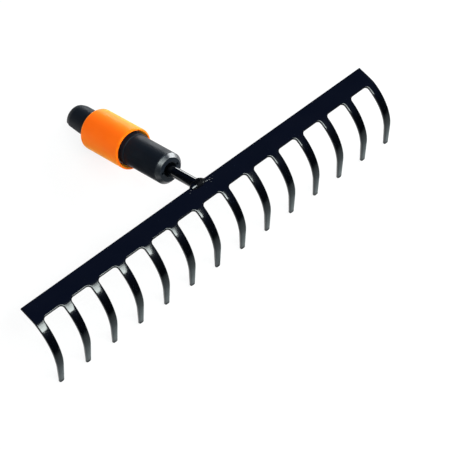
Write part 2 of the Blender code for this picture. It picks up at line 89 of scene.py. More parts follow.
NOTCH_ROOT = PLATE_DEPTH + NOTCH_FILLET
MID_AT = NOTCH_ROOT + (TINE_LENGTH - NOTCH_ROOT) * MID_WIDTH_AT
MIDDLE_TINE = (TINE_COUNT - 1) / 2
FIRST_ROW = 0.0025          # the first scored row's distance from the rear edge
SHEARED = 0.35              # how much of its rounding the shear leaves that edge
CREASE = 0.0016             # how far the rows along a tine lie from its middle
CROWN_HEIGHT = 0.00010
CROWN_RISE = 0.008          # the length over which the crown starts at a tine's root

# Tang, weld and coupling
TANG_RADIUS = 0.0045
TANG_START = 0.00125
TANG_END = 0.1030
TANG_DROP = 0.0024
WELD_HALF_WIDTH = 0.0076
WELD_HALF_LENGTH = 0.0046
WELD_HALF_HEIGHT = 0.0050
WELD_Y = 0.0003
WELD_DULLNESS = 0.8
WELD_DULL_TO = -0.3         # of the half width; the bead's left end shines
WELD_DULL_FADE = 0.3
# Drops of spatter on the plate: x, distance from the rear edge, radius
WELD_DROPS = ((0.0072, 0.0031, 0.00100), (0.0090, 0.0036, 0.00080), (0.0106, 0.0026, 0.00060),
              (0.0118, 0.0041, 0.00050), (0.0093, 0.0060, 0.00045), (-0.0089, 0.0022, 0.00060),
              (-0.0106, 0.0036, 0.00045), (0.0140, 0.0028, 0.00040))
DROP_FLATNESS = 0.42
# Drops at the bead's toe: centre, half width, half depth, height
WELD_PEARLS = (((-0.0051, -0.0023, 0.0000), 0.0026, 0.0015, 0.0007),
               ((0.0034, -0.0031, -0.0005), 0.0009, 0.0006, 0.0006),
               ((0.0060, -0.0029, -0.0012), 0.0009, 0.0006, 0.0005))
PEARL_LEAN = (-0.30, -0.746, 0.596)
CORE_RADIUS = 0.01245
LAND_RADIUS = 0.0143
BARREL_RADIUS = 0.0135
BODY_START = 0.0340
BARREL_CHAMFER = 0.0030
ENTRY_RADIUS = 0.0063
ENTRY_DEPTH = 0.0060
MOULD_PIN_RADIUS = 0.0012
MOULD_PIN_DEPTH = 0.006
MOULD_PIN_OUT = 0.0078
MOULD_PIN_UP = 0.0012
SLEEVE_START = 0.0810
SLEEVE_LENGTH = 0.0480
SLEEVE_BORE = 0.0162
SLEEVE_RADIUS = 0.0180
SLEEVE_END = SLEEVE_START + SLEEVE_LENGTH
LAND_REACH = 0.0030         # to both sides of the sleeve's near rim
SHOULDER = SLEEVE_START + LAND_REACH
LAND_START = SLEEVE_START - LAND_REACH
WEB_START = SLEEVE_START + 0.0210
WEB_END = WEB_START + 0.0025
RING_WIRE = 0.0014
RING_CENTRE = WEB_END + 0.0010
RING_START = -75            # degrees
RING_SWEEP = 330
SCARF_START = 0.1080
TONGUE_END = SLEEVE_END + 0.0275
TONGUE_LEAD = 0.0044
TONGUE_LEAD_DROP = 0.0010
TONGUE_LEAD_BEND = 0.0006   # half the length over which the lead-in starts
TONGUE_EDGE = 0.0004
SCARF_AT_SLEEVE = -0.0022
SCARF_SLOPE = math.radians(9.2)
LOCK_Y = SLEEVE_END - 0.0110
LOCK_PIN_RADIUS = 0.0025
LOCK_HEAD_RADIUS = 0.0040
LOCK_UNDERSIDE = CORE_RADIUS - 0.0019
LOCK_SEAT = LOCK_UNDERSIDE - 0.0050
LOCK_REACH = 0.0020         # how far the pin stands out of the tongue's flat
LOCK_LIFT = 0.0018
RAMP_HALF_WIDTH = 0.003
RAMP_LEAD = 0.003
RAMP_BEVEL = 0.0003
SPRING_WIRE = 0.0014
SPRING_CURLS = 6
LOCK_SPRING_RADIUS = 0.00325
LOCK_SPRING_WIRE = 0.0006
LOCK_SPRING_LENGTH = 0.0044
LOCK_SPRING_CURLS = 3
CLOSED_CURL_GAP = 0.00045
CLEARANCE = 0.0003
SLEEVE_TRAVEL = 0.0080

# Rubbed edges of the turned pieces
SMALLEST_WORN = 0.0006      # a corner rounded no more than this isn't rubbed
WEAR_REACH = 0.0004         # how far past its rounding a corner is rubbed

# Table and room
TABLE_HALF = 6.0
TABLE_WHITE = 0.84          # share of plain white to the eye; the rest keeps the shadows
FILL = (0.61, 0.62, 0.63, 1)
ROOM_LOW = (0.012, 0.015, 0.020, 1)
ROOM_HIGH = (0.045, 0.070, 0.190, 1)
# Painted shade in the table as the paint mirrors it: y and whiteness, falling to dark towards
# its front
FRONT_START = -0.32
FRONT_END = -0.09
FRONT_PAINTED_SHADE_STOPS = ((-0.32, 0.01), (-0.25, 0.07), (-0.20, 0.26), (-0.163, 0.40), (-0.128, 0.50),
               (-0.112, 0.54), (-0.105, 0.66), (-0.1005, 1.0))
# Colour of the painted shade in the mirrored table behind the coupling, on its right
PAINTED_SHADE_BEHIND_COLOUR = (0.36, 0.40, 0.42, 1)
# Colour of the painted shade in the mirrored table under the coupling
PAINTED_SHADE_UNDER_COLOUR = (0.05, 0.06, 0.07, 1)
# Colour of the painted shadow of the coupling and of the painted shade far to its left, in the
# mirrored table
PAINTED_SHADOW_COLOUR = (0.02, 0.025, 0.03, 1)
# Painted contact shadow in the mirrored table: its colour, and the occlusion reach and levels
# that set it
PAINTED_CONTACT_SHADOW_COLOUR = (0.02, 0.024, 0.028, 1)
CONTACT_DISTANCE = 0.0027
CONTACT_OPEN = 0.97
CONTACT_CLOSED = 0.76

# Softboxes and camera
KEY_BANDS = (0.50, 0.95, 1.20, 1.30)   # the key fades towards the back
KEY_BAND_DEPTH = 0.12
KEY_BACK = -0.53
KEY_X = -0.075
KEY_POWER = 15.5
KEY_COLOUR = (0.91, 1.0, 0.97)
SIDE_COLOUR = (0.95, 0.985, 1.0)
HEAD_MIDDLE = (0.0, 0.0, 0.03)
LENS = 182.5
SENSOR_WIDTH = 36.0
CAMERA_AT = (-0.747477, -1.223387, 1.074187)
CAMERA_TURN = (50.9837, 11.736, -41.2867)   # degrees


# ---------------------------------------------------------------- materials

class Shader:
    """A Principled material with short calls for its node network."""

    def __init__(self, name, **values):
        self.material = bpy.data.materials.new(name)
        self.material.use_nodes = True
        self.tree = self.material.node_tree
        self.surface = self.tree.nodes["Principled BSDF"]
        self.coordinates = self.tree.nodes.new("ShaderNodeTexCoord").outputs["Object"]
        for socket, value in values.items():
            self.surface.inputs[socket.replace("_", " ")].default_value = value

    def node(self, kind, **values):
        node = self.tree.nodes.new("ShaderNode" + kind)
        for key, value in values.items():
            setattr(node, key, value)
        return node

    def link(self, start, end):
        self.tree.links.new(start, end)

    def grain(self, scale, detail=2.0, roughness=0.5, stretch=None):
        """Noise in object space; scale is how many lumps fit in a metre."""
        texture = self.node("TexNoise")
        texture.inputs["Scale"].default_value = scale
        texture.inputs["Detail"].default_value = detail
        texture.inputs["Roughness"].default_value = roughness
        if stretch:
            mapping = self.node("Mapping")
            mapping.inputs["Scale"].default_value = stretch
            self.link(self.coordinates, mapping.inputs["Vector"])
            self.link(mapping.outputs["Vector"], texture.inputs["Vector"])
        else:
            self.link(self.coordinates, texture.inputs["Vector"])
        return texture.outputs["Fac"]

    def spread(self, value, low, high, out_low, out_high, smooth=True):
        """Map a value from one range to another, clamped."""
        mapped = self.node("MapRange", interpolation_type="SMOOTHSTEP" if smooth else "LINEAR")
        mapped.inputs["From Min"].default_value = low
        mapped.inputs["From Max"].default_value = high
        mapped.inputs["To Min"].default_value = out_low
        mapped.inputs["To Max"].default_value = out_high
        self.link(value, mapped.inputs["Value"])
        return mapped.outputs["Result"]

    def blend(self, factor, first, second):
        mix = self.node("Mix", data_type="RGBA")
        self.link(factor, mix.inputs["Factor"])
        for socket, colour in ((mix.inputs[6], first), (mix.inputs[7], second)):
            if isinstance(colour, bpy.types.NodeSocket):
                self.link(colour, socket)
            else:
                socket.default_value = (*colour, 1.0)
        return mix.outputs[2]

    def times(self, first, second):
        node = self.node("Math", operation="MULTIPLY")
        for socket, value in ((node.inputs[0], first), (node.inputs[1], second)):
            if isinstance(value, bpy.types.NodeSocket):
                self.link(value, socket)
            else:
                socket.default_value = value
        return node.outputs["Value"]

    def attribute(self, name):
        return self.node("Attribute", attribute_name=name).outputs["Fac"]

    def bump(self, height, distance, strength=1.0, under=None):
        """Raise the surface by a height value; under is a coarser bump's normal."""
        bump = self.node("Bump")
        bump.inputs["Strength"].default_value = strength
        bump.inputs["Distance"].default_value = distance
        self.link(height, bump.inputs["Height"])
        if under:
            self.link(under, bump.inputs["Normal"])
        return bump.outputs["Normal"]

    def set(self, socket, value):
        self.link(value, self.surface.inputs[socket])


def gloss_paint(name, wear, over_weld=False):
    """Black enamel dipped over steel: orange peel, a thin edge, fine dust."""
    paint = Shader(name, IOR=1.5, Specular_IOR_Level=0.5, Coat_Weight=0.4, Coat_Roughness=0.06)
    shade = paint.spread(paint.grain(38, 3), 0.35, 0.65, 0.0, 1.0)
    colour = paint.blend(shade, (0.0003, 0.0006, 0.0013), (0.0007, 0.0011, 0.0022))
    edge = paint.attribute("edge")
    chips = paint.spread(paint.grain(900, 4, 0.6), 0.60, 0.68, 0.0, wear)
    worn = paint.times(edge, chips)
    colour = paint.blend(worn, colour, (0.030, 0.033, 0.038))
    paint.set("Base Color", colour)
    polish = paint.spread(paint.grain(55, 3), 0.3, 0.7, 0.10, 0.18)
    paint.set("Roughness", polish)
    if over_weld:
        dulled = paint.node("Math", operation="MULTIPLY_ADD", use_clamp=True)
        dulled.inputs[1].default_value = 0.45
        paint.link(paint.attribute("dull"), dulled.inputs[0])
        paint.link(polish, dulled.inputs[2])
        paint.set("Roughness", dulled.outputs["Value"])
        paint.set("Specular IOR Level", paint.spread(paint.attribute("dull"), 0, 0.8, 0.5, 0.04))
        paint.set("Coat Weight", paint.spread(paint.attribute("dull"), 0, 0.8, 0.4, 0.0))
    sag = paint.bump(paint.grain(48, 2), 0.00008)
    peel = paint.bump(paint.grain(420, 1.5), 0.00003, 1.0, sag)
    dust = paint.spread(paint.grain(1900, 2), 0.70, 0.78, 0.0, 1.0)
    paint.set("Normal", paint.bump(dust, 0.00001, 0.5, peel))
    return paint.material


def moulded(name, dark, light, worn, rough, grain_height, **values):
    """Moulded nylon: a fine spark-eroded grain, flow shading, handled edges."""
    plastic = Shader(name, IOR=1.5, **values)
    flow = plastic.spread(plastic.grain(30, 2, 0.5), 0.35, 0.65, 0.0, 1.0)
    colour = plastic.blend(flow, dark, light)
    polish = plastic.spread(plastic.grain(75, 3), 0.35, 0.7, rough - 0.04, rough + 0.05)
    rubbed = plastic.times(plastic.attribute("edge"), plastic.spread(plastic.grain(260, 3),
                           0.35, 0.6, 0.25, 1.0))
    plastic.set("Base Color", plastic.blend(rubbed, colour, worn))
    handled = plastic.node("Math", operation="SUBTRACT")
    plastic.link(polish, handled.inputs[0])
    plastic.link(plastic.times(rubbed, 0.14), handled.inputs[1])
    plastic.set("Roughness", handled.outputs["Value"])
    coarse = plastic.bump(plastic.grain(1300, 2, 0.6), grain_height)
    plastic.set("Normal", plastic.bump(plastic.grain(3600, 1), grain_height * 0.5, 0.6, coarse))
    return plastic.material


def bare_steel(name, base, rough):
    """Drawn or ground steel with fine scratches and a film of oil."""
    steel = Shader(name, Metallic=1.0)
    film = steel.spread(steel.grain(160, 3), 0.35, 0.7, 0.0, 1.0)
    darker = tuple(channel * 0.72 for channel in base)
    steel.set("Base Color", steel.blend(film, base, darker))
    scratches = steel.grain(2200, 2, 0.6, stretch=(1.0, 1.0, 0.15))
    steel.set("Roughness", steel.spread(scratches, 0.3, 0.7, rough - 0.08, rough + 0.1))
    steel.set("Normal", steel.bump(scratches, 0.00001, 0.6))
    return steel.material


PAINT = gloss_paint("gloss_black_enamel", 0.5)
WELD_PAINT = gloss_paint("enamel_over_weld", 0.6, over_weld=True)
BLACK = moulded("black_moulding", (0.0042, 0.0068, 0.0115), (0.0062, 0.0092, 0.0140),
                (0.014, 0.017, 0.021), 0.43, 0.00003, Specular_IOR_Level=0.2)
POLISHED = moulded("black_polished_moulding", (0.0045, 0.0070, 0.0110), (0.0070, 0.0098, 0.0140),
                   (0.016, 0.018, 0.021), 0.33, 0.000006, Specular_IOR_Level=0.8)
ORANGE = moulded("orange_moulding", (0.97, 0.105, 0.0005), (1.0, 0.122, 0.0009),
                 (1.0, 0.20, 0.010), 0.34, 0.000018, Specular_IOR_Level=0.18,
                 Specular_Tint=(1.0, 0.74, 0.08, 1.0), Sheen_Weight=0.8,
                 Sheen_Roughness=0.45, Sheen_Tint=(1.0, 0.68, 0.06, 1.0),
                 Subsurface_Weight=0.08, Subsurface_Radius=(0.004, 0.0012, 0.0004),
                 Subsurface_Scale=0.5)
WIRE = bare_steel("drawn_spring_wire", (0.46, 0.46, 0.47), 0.30)
GROUND = bare_steel("ground_pin_steel", (0.58, 0.58, 0.59), 0.24)


# ------------------------------------------------------------------ helpers

def add_piece(name, mesh, material, matrix, sharp=35.0):
    mesh.name = name
    mesh.materials.clear()
    mesh.materials.append(material)
    piece = bpy.data.objects.new(name, mesh)
    bpy.context.scene.collection.objects.link(piece)
    piece.matrix_world = matrix
    mesh.shade_smooth()
    mesh.set_sharp_from_angle(angle=math.radians(sharp))
    return piece


def even_normals(piece):
    """Let the large faces set the shading next to narrow rounded edges."""
    weighted = piece.modifiers.new("even_normals", "WEIGHTED_NORMAL")
    weighted.keep_sharp = True
    weighted.mode = "FACE_AREA"


def finish_piece(piece, body, slot, *nodes):
    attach(piece, body)
    if nodes:
        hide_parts(*nodes)


def along_handle(y, x=0.0, z=0.0):
    """Lays local Z along the handle, starting y from the plate's rear edge."""
    place = Matrix.Translation((x, y, z - TANG_DROP))
    return HANDLE @ place @ Matrix.Rotation(-math.pi / 2, 4, "X")


def upright(y):
    """Keeps local Z square to the handle, up."""
    return HANDLE @ Matrix.Translation((0, y, -TANG_DROP))


def finished_mesh(source):
    """The mesh of a curve, or of a mesh with its modifiers applied."""
    bpy.context.view_layer.update()
    graph = bpy.context.evaluated_depsgraph_get()
    return bpy.data.meshes.new_from_object(source.evaluated_get(graph))


def mesh_from(shape, name):
    mesh = bpy.data.meshes.new(name)
    shape.to_mesh(mesh)
    shape.free()
    return mesh


def curve_mesh(name, curve, points, cyclic=False):
    """The mesh of a curve with its bevel set, drawn through (x, y, z) points."""
    spline = curve.splines.new("POLY")
    spline.points.add(len(points) - 1)
    for point, place in zip(spline.points, points):
        point.co = (*place, 1)
    spline.use_cyclic_u = cyclic
    source = bpy.data.objects.new(name, curve)
    bpy.context.scene.collection.objects.link(source)
    mesh = finished_mesh(source)
    bpy.data.objects.remove(source, do_unlink=True)
    return mesh


def arc(centre, radius, start, end, pieces):
    """Points on an arc, both ends included; angles in degrees."""
    points = []
    for i in range(pieces + 1):
        angle = math.radians(start + (end - start) * i / pieces)
        points.append((centre[0] + radius * math.cos(angle),
                       centre[1] + radius * math.sin(angle)))
    return points


def rounded(corners, pieces=5, closed=False):
    """An outline of (x, y, radius) corners, with each radius as an arc."""
    points = []
    for i, (x, y, radius) in enumerate(corners):
        here = Vector((x, y))
        if radius == 0 or (not closed and i in (0, len(corners) - 1)):
            points.append(here)
            continue
        before = (Vector(corners[i - 1][:2]) - here).normalized()
        after = (Vector(corners[(i + 1) % len(corners)][:2]) - here).normalized()
        half = before.angle(after) / 2
        centre = here + (before + after).normalized() * radius / math.sin(half)
        start = here + before * radius / math.tan(half) - centre
        end = here + after * radius / math.tan(half) - centre
        first = math.atan2(start.y, start.x)
        sweep = (math.atan2(end.y, end.x) - first + math.pi) % (2 * math.pi) - math.pi
        for step in range(pieces + 1):
            angle = first + sweep * step / pieces
            points.append(centre + radius * Vector((math.cos(angle), math.sin(angle))))
    return points


def even_rows(profile, closed, longest=0.0012):
    """Add points to a profile so that no stretch of it is long."""
    ends = profile[1:] + profile[:1] if closed else profile[1:]
    points = []
    for start, end in zip(profile, ends):
        start = Vector(start)
        step = Vector(end) - start
        pieces = max(1, math.ceil(step.length / longest))
        points += [start + step * i / pieces for i in range(pieces)]
    if not closed:
        points.append(Vector(profile[-1]))
    return points


def turned(name, profile, steps, closed=False, corners=()):
    """Turn (radius, height) points round Z; corners are (radius, height, round)."""
    shape = bmesh.new()
    edge = shape.verts.layers.float.new("edge")
    rings = []
    for radius, height in even_rows(profile, closed) if corners else profile:
        wear = 0.0
        for corner_radius, corner_height, size in corners:
            away = math.hypot(radius - corner_radius, height - corner_height)
            if size > SMALLEST_WORN:
                wear = max(wear, 1 - away / (size + WEAR_REACH))
        count = 1 if radius < 1e-7 else steps
        turns = [2 * math.pi * i / steps for i in range(count)]
        ring = [shape.verts.new((radius * math.cos(t), radius * math.sin(t), height))
                for t in turns]
        for vert in ring:
            vert[edge] = wear
        rings.append(ring)
    pairs = list(zip(rings, rings[1:]))
    if closed:
        pairs.append((rings[-1], rings[0]))
    for first, second in pairs:
        for i in range(steps):
            j = (i + 1) % steps
            around = [first[i % len(first)], first[j % len(first)],
                      second[j % len(second)], second[i % len(second)]]
            around = list(dict.fromkeys(around))
            if len(around) > 2:
                shape.faces.new(around)
    bmesh.ops.recalc_face_normals(shape, faces=shape.faces)
    return mesh_from(shape, name)


def cut(piece, radius, length, matrix, steps=48):
    """Bore a round hole through a piece; matrix lays the drill along Z."""
    profile = [(0, 0), (radius, 0), (radius, length), (0, length)]
    drill = bpy.data.objects.new("drill", turned("drill", profile, steps))
    bpy.context.scene.collection.objects.link(drill)
    drill.matrix_world = matrix
    boolean = piece.modifiers.new("bore", "BOOLEAN")
    boolean.operation = "DIFFERENCE"
    boolean.solver = "EXACT"
    boolean.object = drill
    return drill


def apply_cuts(piece, drills):
    mesh = finished_mesh(piece)
    piece.modifiers.clear()
    old = piece.data
    piece.data = mesh
    bpy.data.meshes.remove(old)
    for drill in drills:
        bpy.data.objects.remove(drill, do_unlink=True)
    piece.data.set_sharp_from_angle(angle=math.radians(35))


# ------------------------------------------------------------- stamped head

def tine_width(distance):
    if distance <= MID_AT:
        share = (distance - NOTCH_ROOT) / (MID_AT - NOTCH_ROOT)
        return TINE_ROOT_WIDTH + (TINE_MID_WIDTH - TINE_ROOT_WIDTH) * share
    share = (distance - MID_AT) / (TINE_LENGTH - MID_AT)
    return TINE_MID_WIDTH + (TINE_TIP_WIDTH - TINE_MID_WIDTH) * share


def blank_outline():
    """Outline of the flat blank: rear edge at y = 0, tines towards -y."""
    half_bar = BAR_LENGTH / 2
    corner = BAR_CORNER_RADIUS
    points = arc((-half_bar + corner, -corner), corner, 180, 90, 4)
    points += arc((half_bar - corner, -corner), corner, 90, 0, 4)
    for i in reversed(range(TINE_COUNT)):
        centre = (i - MIDDLE_TINE) * TINE_PITCH
        half_root = TINE_ROOT_WIDTH / 2
        if i < TINE_COUNT - 1:
            points += arc((centre + half_root + NOTCH_FILLET, -NOTCH_ROOT),
                          NOTCH_FILLET, 90, 180, 10)
        else:
            points.append((centre + half_root, -NOTCH_ROOT))
        points.append((centre + TINE_MID_WIDTH / 2, -MID_AT))
        tip = TINE_TIP_WIDTH / 2 - TIP_CORNER_RADIUS
        tip_y = -TINE_LENGTH + TIP_CORNER_RADIUS
        points += arc((centre + tip, tip_y), TIP_CORNER_RADIUS, 0, -90, 8)
        points += arc((centre - tip, tip_y), TIP_CORNER_RADIUS, -90, -180, 8)
        points.append((centre - TINE_MID_WIDTH / 2, -MID_AT))
        if i > 0:
            points += arc((centre - half_root - NOTCH_FILLET, -NOTCH_ROOT),
                          NOTCH_FILLET, 0, 90, 10)
        else:
            points.append((centre - half_root, -NOTCH_ROOT))
    return points


def side_station(distance):
    """Point (y, z) and slope of the bent blank's outer face in side view."""
    stages = ((FLAT_LENGTH, FLAT_SLOPE, FLAT_SLOPE),
              (ROOT_BEND_LENGTH, FLAT_SLOPE, ROOT_BEND_SLOPE),
              (SWEEP_LENGTH, ROOT_BEND_SLOPE, POINT_SLOPE),
              (POINT_LENGTH * 2, POINT_SLOPE, POINT_SLOPE))
    y = 0.0
    z = 0.0
    left = distance
    slope = FLAT_SLOPE
    for length, start, end in stages:
        run = min(left, length)
        bend = (end - start) / length
        slope = start + bend * run
        if abs(bend) < 1e-9:
            y -= run * math.cos(start)
            z -= run * math.sin(start)
        else:
            y -= (math.sin(slope) - math.sin(start)) / bend
            z += (math.cos(slope) - math.cos(start)) / bend
        left -= run
        if left <= 0:
            break
    return y, z, slope


def sharpened(y):
    """Draw the rounding of the sheared rear edge together."""
    narrow = -EDGE_RADIUS * SHEARED
    if y > -EDGE_RADIUS:
        return y * SHEARED
    if y > -FIRST_ROW:
        share = (y + EDGE_RADIUS) / (-FIRST_ROW + EDGE_RADIUS)
        return narrow + (-FIRST_ROW - narrow) * share
    return y


def crown(x, distance):
    """How far pressing has domed a tine's outer face at a point of the blank."""
    nearest = round(x / TINE_PITCH + MIDDLE_TINE) - MIDDLE_TINE
    half = tine_width(max(distance, NOTCH_ROOT)) / 2 - EDGE_RADIUS
    share = max(0.0, 1 - ((x - nearest * TINE_PITCH) / half) ** 2)
    start = min(1.0, max(0.0, (distance - PLATE_DEPTH + 0.001) / CROWN_RISE))
    return CROWN_HEIGHT * share * start


def score(shape):
    """Cut the flat blank into fine rows, so that it bends smoothly."""
    rows = [FIRST_ROW, 0.006, FLAT_LENGTH - 0.001]
    rows += [FLAT_LENGTH + ROOT_BEND_LENGTH * i / 5 for i in range(6)]
    sweep = FLAT_LENGTH + ROOT_BEND_LENGTH
    rows += [sweep + SWEEP_LENGTH * i / 28 for i in range(1, 29)]
    rows += [TINE_LENGTH - POINT_LENGTH * share for share in (0.6, 0.3)]
    for row in rows:
        everything = shape.verts[:] + shape.edges[:] + shape.faces[:]
        bmesh.ops.bisect_plane(shape, geom=everything, dist=0.000001,
                               plane_co=(0, -row, 0), plane_no=(0, 1, 0))
    for i in range(TINE_COUNT):
        centre = (i - MIDDLE_TINE) * TINE_PITCH
        for side in (-1, 0, 1):
            near = [face for face in shape.faces
                    if abs(face.calc_center_median().x - centre) < TINE_PITCH / 2
                    and face.calc_center_median().y < 0.002 - PLATE_DEPTH]
            parts = set(near)
            for face in near:
                parts.update(face.verts)
                parts.update(face.edges)
            bmesh.ops.bisect_plane(shape, geom=list(parts), dist=0.000001,
                                   plane_co=(centre + side * CREASE, 0, 0), plane_no=(1, 0, 0))


def make_head():
    """The blank with rounded edges, scored in fine rows and bent."""
    curve = bpy.data.curves.new("blank", "CURVE")
    curve.dimensions = "2D"
    curve.fill_mode = "BOTH"
    curve.extrude = PLATE_THICKNESS / 2 - EDGE_RADIUS
    curve.bevel_depth = EDGE_RADIUS
    curve.bevel_resolution = 3
    curve.offset = -EDGE_RADIUS
    outline = [(x, y, 0) for x, y in blank_outline()]
    mesh = curve_mesh("blank", curve, outline, cyclic=True)
    shape = bmesh.new()
    shape.from_mesh(mesh)
    bmesh.ops.remove_doubles(shape, verts=shape.verts, dist=0.000001)
    bmesh.ops.recalc_face_normals(shape, faces=shape.faces)
    score(shape)
    edge = shape.verts.layers.float.new("edge")
    flat = PLATE_THICKNESS / 2 - 0.00002
    for vert in shape.verts:
        x, flat_y, height = vert.co
        vert[edge] = 0.0 if abs(height) > flat else 1.0
        if height > flat:
            height += crown(x, -flat_y)
        flat_y = sharpened(flat_y)
        y, z, slope = side_station(-flat_y)
        rise = height - PLATE_THICKNESS / 2
        vert.co = (x, y - rise * math.sin(slope), z + rise * math.cos(slope))
    shape.to_mesh(mesh)
    shape.free()
    head = add_piece("stamped_head", mesh, PAINT, HANDLE, 50)
    even_normals(head)
    finish_piece(head, "head", "painted_steel", "rake_head")


def make_tang():
    """The round bar from inside the weld to inside the moulding."""
    corners = [(0, TANG_START, 0), (TANG_RADIUS, TANG_START, 0.0004),
               (TANG_RADIUS, TANG_END, 0.0004), (0, TANG_END, 0)]
    profile = [tuple(point) for point in rounded(corners, 4)]
    mesh = turned("tang_bar", profile, 72, corners=corners)
    tang = add_piece("tang_bar", mesh, PAINT, along_handle(0))
    finish_piece(tang, "head", "painted_steel", "tang")


def add_pearl(shape, centre, half_width, half_depth, height):
    """A flat-topped drop of weld that leans forward, away from the bar."""
    out = Vector(PEARL_LEAN).normalized()
    along = (Vector((1, 0, 0)) - out * out.x).normalized()
    across = out.cross(along)
    for vert in bmesh.ops.create_icosphere(shape, subdivisions=5, radius=1.0)["verts"]:
        way = vert.co.copy()
        swell = 1 + 0.10 * noise.noise(way * 1.3 + Vector(centre) * 900)
        rise = math.copysign(abs(way.z) ** 0.5, way.z)
        vert.co = (Vector(centre) + along * way.x * half_width * swell
                   + across * way.y * half_depth * swell + out * rise * height)


def make_bead():
    """A lumpy bead with a run of ripples, dull but for its left end."""
    shape = bmesh.new()
    bmesh.ops.create_icosphere(shape, subdivisions=6, radius=1.0)
    dull = shape.verts.layers.float.new("dull")
    for vert in shape.verts:
        way = vert.co.copy()
        past = (way.x - WELD_DULL_TO) / WELD_DULL_FADE
        vert[dull] = WELD_DULLNESS if past > 0 else WELD_DULLNESS * math.exp(-past ** 2)
        lumps = 0.08 * noise.noise(way * 1.5 + Vector((3.1, 0.4, 7.7)))
        fine = 0.012 * noise.noise(way * 4.5 + Vector((1.3, 9.1, 2.2)))
        turn = math.atan2(way.z, way.x)
        toe = max(0.0, way.x) * max(0.0, -way.y)
        ripple = (0.004 + 0.05 * toe) * math.sin(17 * turn + 3 * way.y)
        lobe = 0.08 * math.exp(-((way.x + 0.62) / 0.28) ** 2) * max(0.0, -way.y)
        swell = 1 + lumps + fine + ripple + lobe
        sunk = 1 - 0.10 * math.exp(-(way.x / 0.35) ** 2)
        vert.co = (way.x * WELD_HALF_WIDTH * swell, way.y * WELD_HALF_LENGTH * swell,
                   way.z * WELD_HALF_HEIGHT * swell * sunk)
    bead = add_piece("weld_bead", mesh_from(shape, "weld_bead"), WELD_PAINT,
                     HANDLE @ Matrix.Translation((0, WELD_Y, -TANG_DROP)), 80)
    finish_piece(bead, "head", "painted_weld", "tang_weld")


def make_spatter():
    """The drops that welding left beside the bead and at its toe."""
    shape = bmesh.new()
    for number, (x, distance, size) in enumerate(WELD_DROPS):
        y, z, slope = side_station(distance)
        made = bmesh.ops.create_icosphere(shape, subdivisions=4, radius=1.0)
        for vert in made["verts"]:
            way = vert.co.copy()
            swell = size * (1 + 0.12 * noise.noise(way * 1.4 + Vector((number, 0, 0))))
            rise = way.z * DROP_FLATNESS
            turned_y = way.y * math.cos(slope) - rise * math.sin(slope)
            turned_z = way.y * math.sin(slope) + rise * math.cos(slope)
            vert.co = Vector((x, y, z)) + Vector((way.x, turned_y, turned_z)) * swell
    for pearl in WELD_PEARLS:
        add_pearl(shape, *pearl)
    spatter = add_piece("weld_spatter", mesh_from(shape, "weld_spatter"), PAINT, HANDLE, 80)
    finish_piece(spatter, "head", "painted_weld")


# ---------------------------------------------------------- socket moulding

def make_socket():
    """Barrel, land, spring seat and groove, turned, with its bores."""
    groove_floor = CORE_RADIUS - RING_WIRE / 2
    groove = RING_WIRE / 2 + CLEARANCE
    corners = [(0, SCARF_START, 0), (CORE_RADIUS, SCARF_START, 0.0003),
               (CORE_RADIUS, RING_CENTRE + groove, 0.0002),
               (groove_floor, RING_CENTRE + groove, 0.0002),
               (groove_floor, RING_CENTRE - groove, 0.0002),
               (CORE_RADIUS, RING_CENTRE - groove, 0.0002),
               (CORE_RADIUS, SHOULDER, 0.0003), (LAND_RADIUS, SHOULDER, 0.0003),
               (LAND_RADIUS, LAND_START, 0.0002), (BARREL_RADIUS, LAND_START - 0.0002, 0.0003),
               (BARREL_RADIUS, BODY_START + BARREL_CHAMFER, 0.0008),
               (BARREL_RADIUS - BARREL_CHAMFER, BODY_START, 0.0005),
               (ENTRY_RADIUS, BODY_START, 0.0005),
               (ENTRY_RADIUS, BODY_START + ENTRY_DEPTH, 0.0004),
               (TANG_RADIUS + 0.0001, BODY_START + ENTRY_DEPTH, 0)]
    profile = [tuple(point) for point in rounded(corners, 5)]
    profile.append((0, BODY_START + ENTRY_DEPTH))
    mesh = turned("socket_moulding", profile, 128, corners=corners)
    socket = add_piece("socket_moulding", mesh, BLACK, along_handle(0))
    drills = []
    for side in (-1, 1):
        place = along_handle(BODY_START - MOULD_PIN_DEPTH, side * MOULD_PIN_OUT, MOULD_PIN_UP)
        drills.append(cut(socket, MOULD_PIN_RADIUS, 2 * MOULD_PIN_DEPTH, place))
    apply_cuts(socket, drills)
    socket.data.materials.append(POLISHED)
    outer = BARREL_RADIUS - BARREL_CHAMFER
    margin = 0.0002
    for face in socket.data.polygons:
        radius = math.hypot(face.center.x, face.center.y)
        if face.center.z < BODY_START + BARREL_CHAMFER + margin and radius > outer - margin:
            face.material_index = 1
    finish_piece(socket, "head", "black_nylon", "socket_body")


def scarf_height(y):
    return SCARF_AT_SLEEVE + (y - SLEEVE_END) * math.tan(SCARF_SLOPE)


def tongue_section(y, inset):
    """Outline of the tongue at y: a round top, a flat underside, eased corners."""
    radius = CORE_RADIUS - inset
    low = scarf_height(y) + inset * 0.3
    ease = TONGUE_EDGE
    top_steps = 56
    corner = math.asin(low / radius)
    start = corner + ease / radius
    points = arc((0, 0), radius, math.degrees(start), 180 - math.degrees(start), top_steps)
    half_flat = radius * math.cos(corner)
    left = Vector((-half_flat, low))
    for share in (0.25, 0.6):
        points.append(eased(Vector(points[top_steps]), left, left + Vector((ease, 0)), share))
    flat = [half_flat * (2 * i / 12 - 1) for i in range(13)]
    flat[0] = -half_flat + ease
    flat[-1] = half_flat - ease
    points += [(x, low) for x in flat]
    right = Vector((half_flat, low))
    for share in (0.4, 0.75):
        points.append(eased(right - Vector((ease, 0)), right, Vector(points[0]), share))
    return [(point[0], point[1]) for point in points]


def eased(start, corner, end, share):
    """A point on the curve that rounds a corner."""
    first = start.lerp(corner, share)
    return first.lerp(corner.lerp(end, share), share)


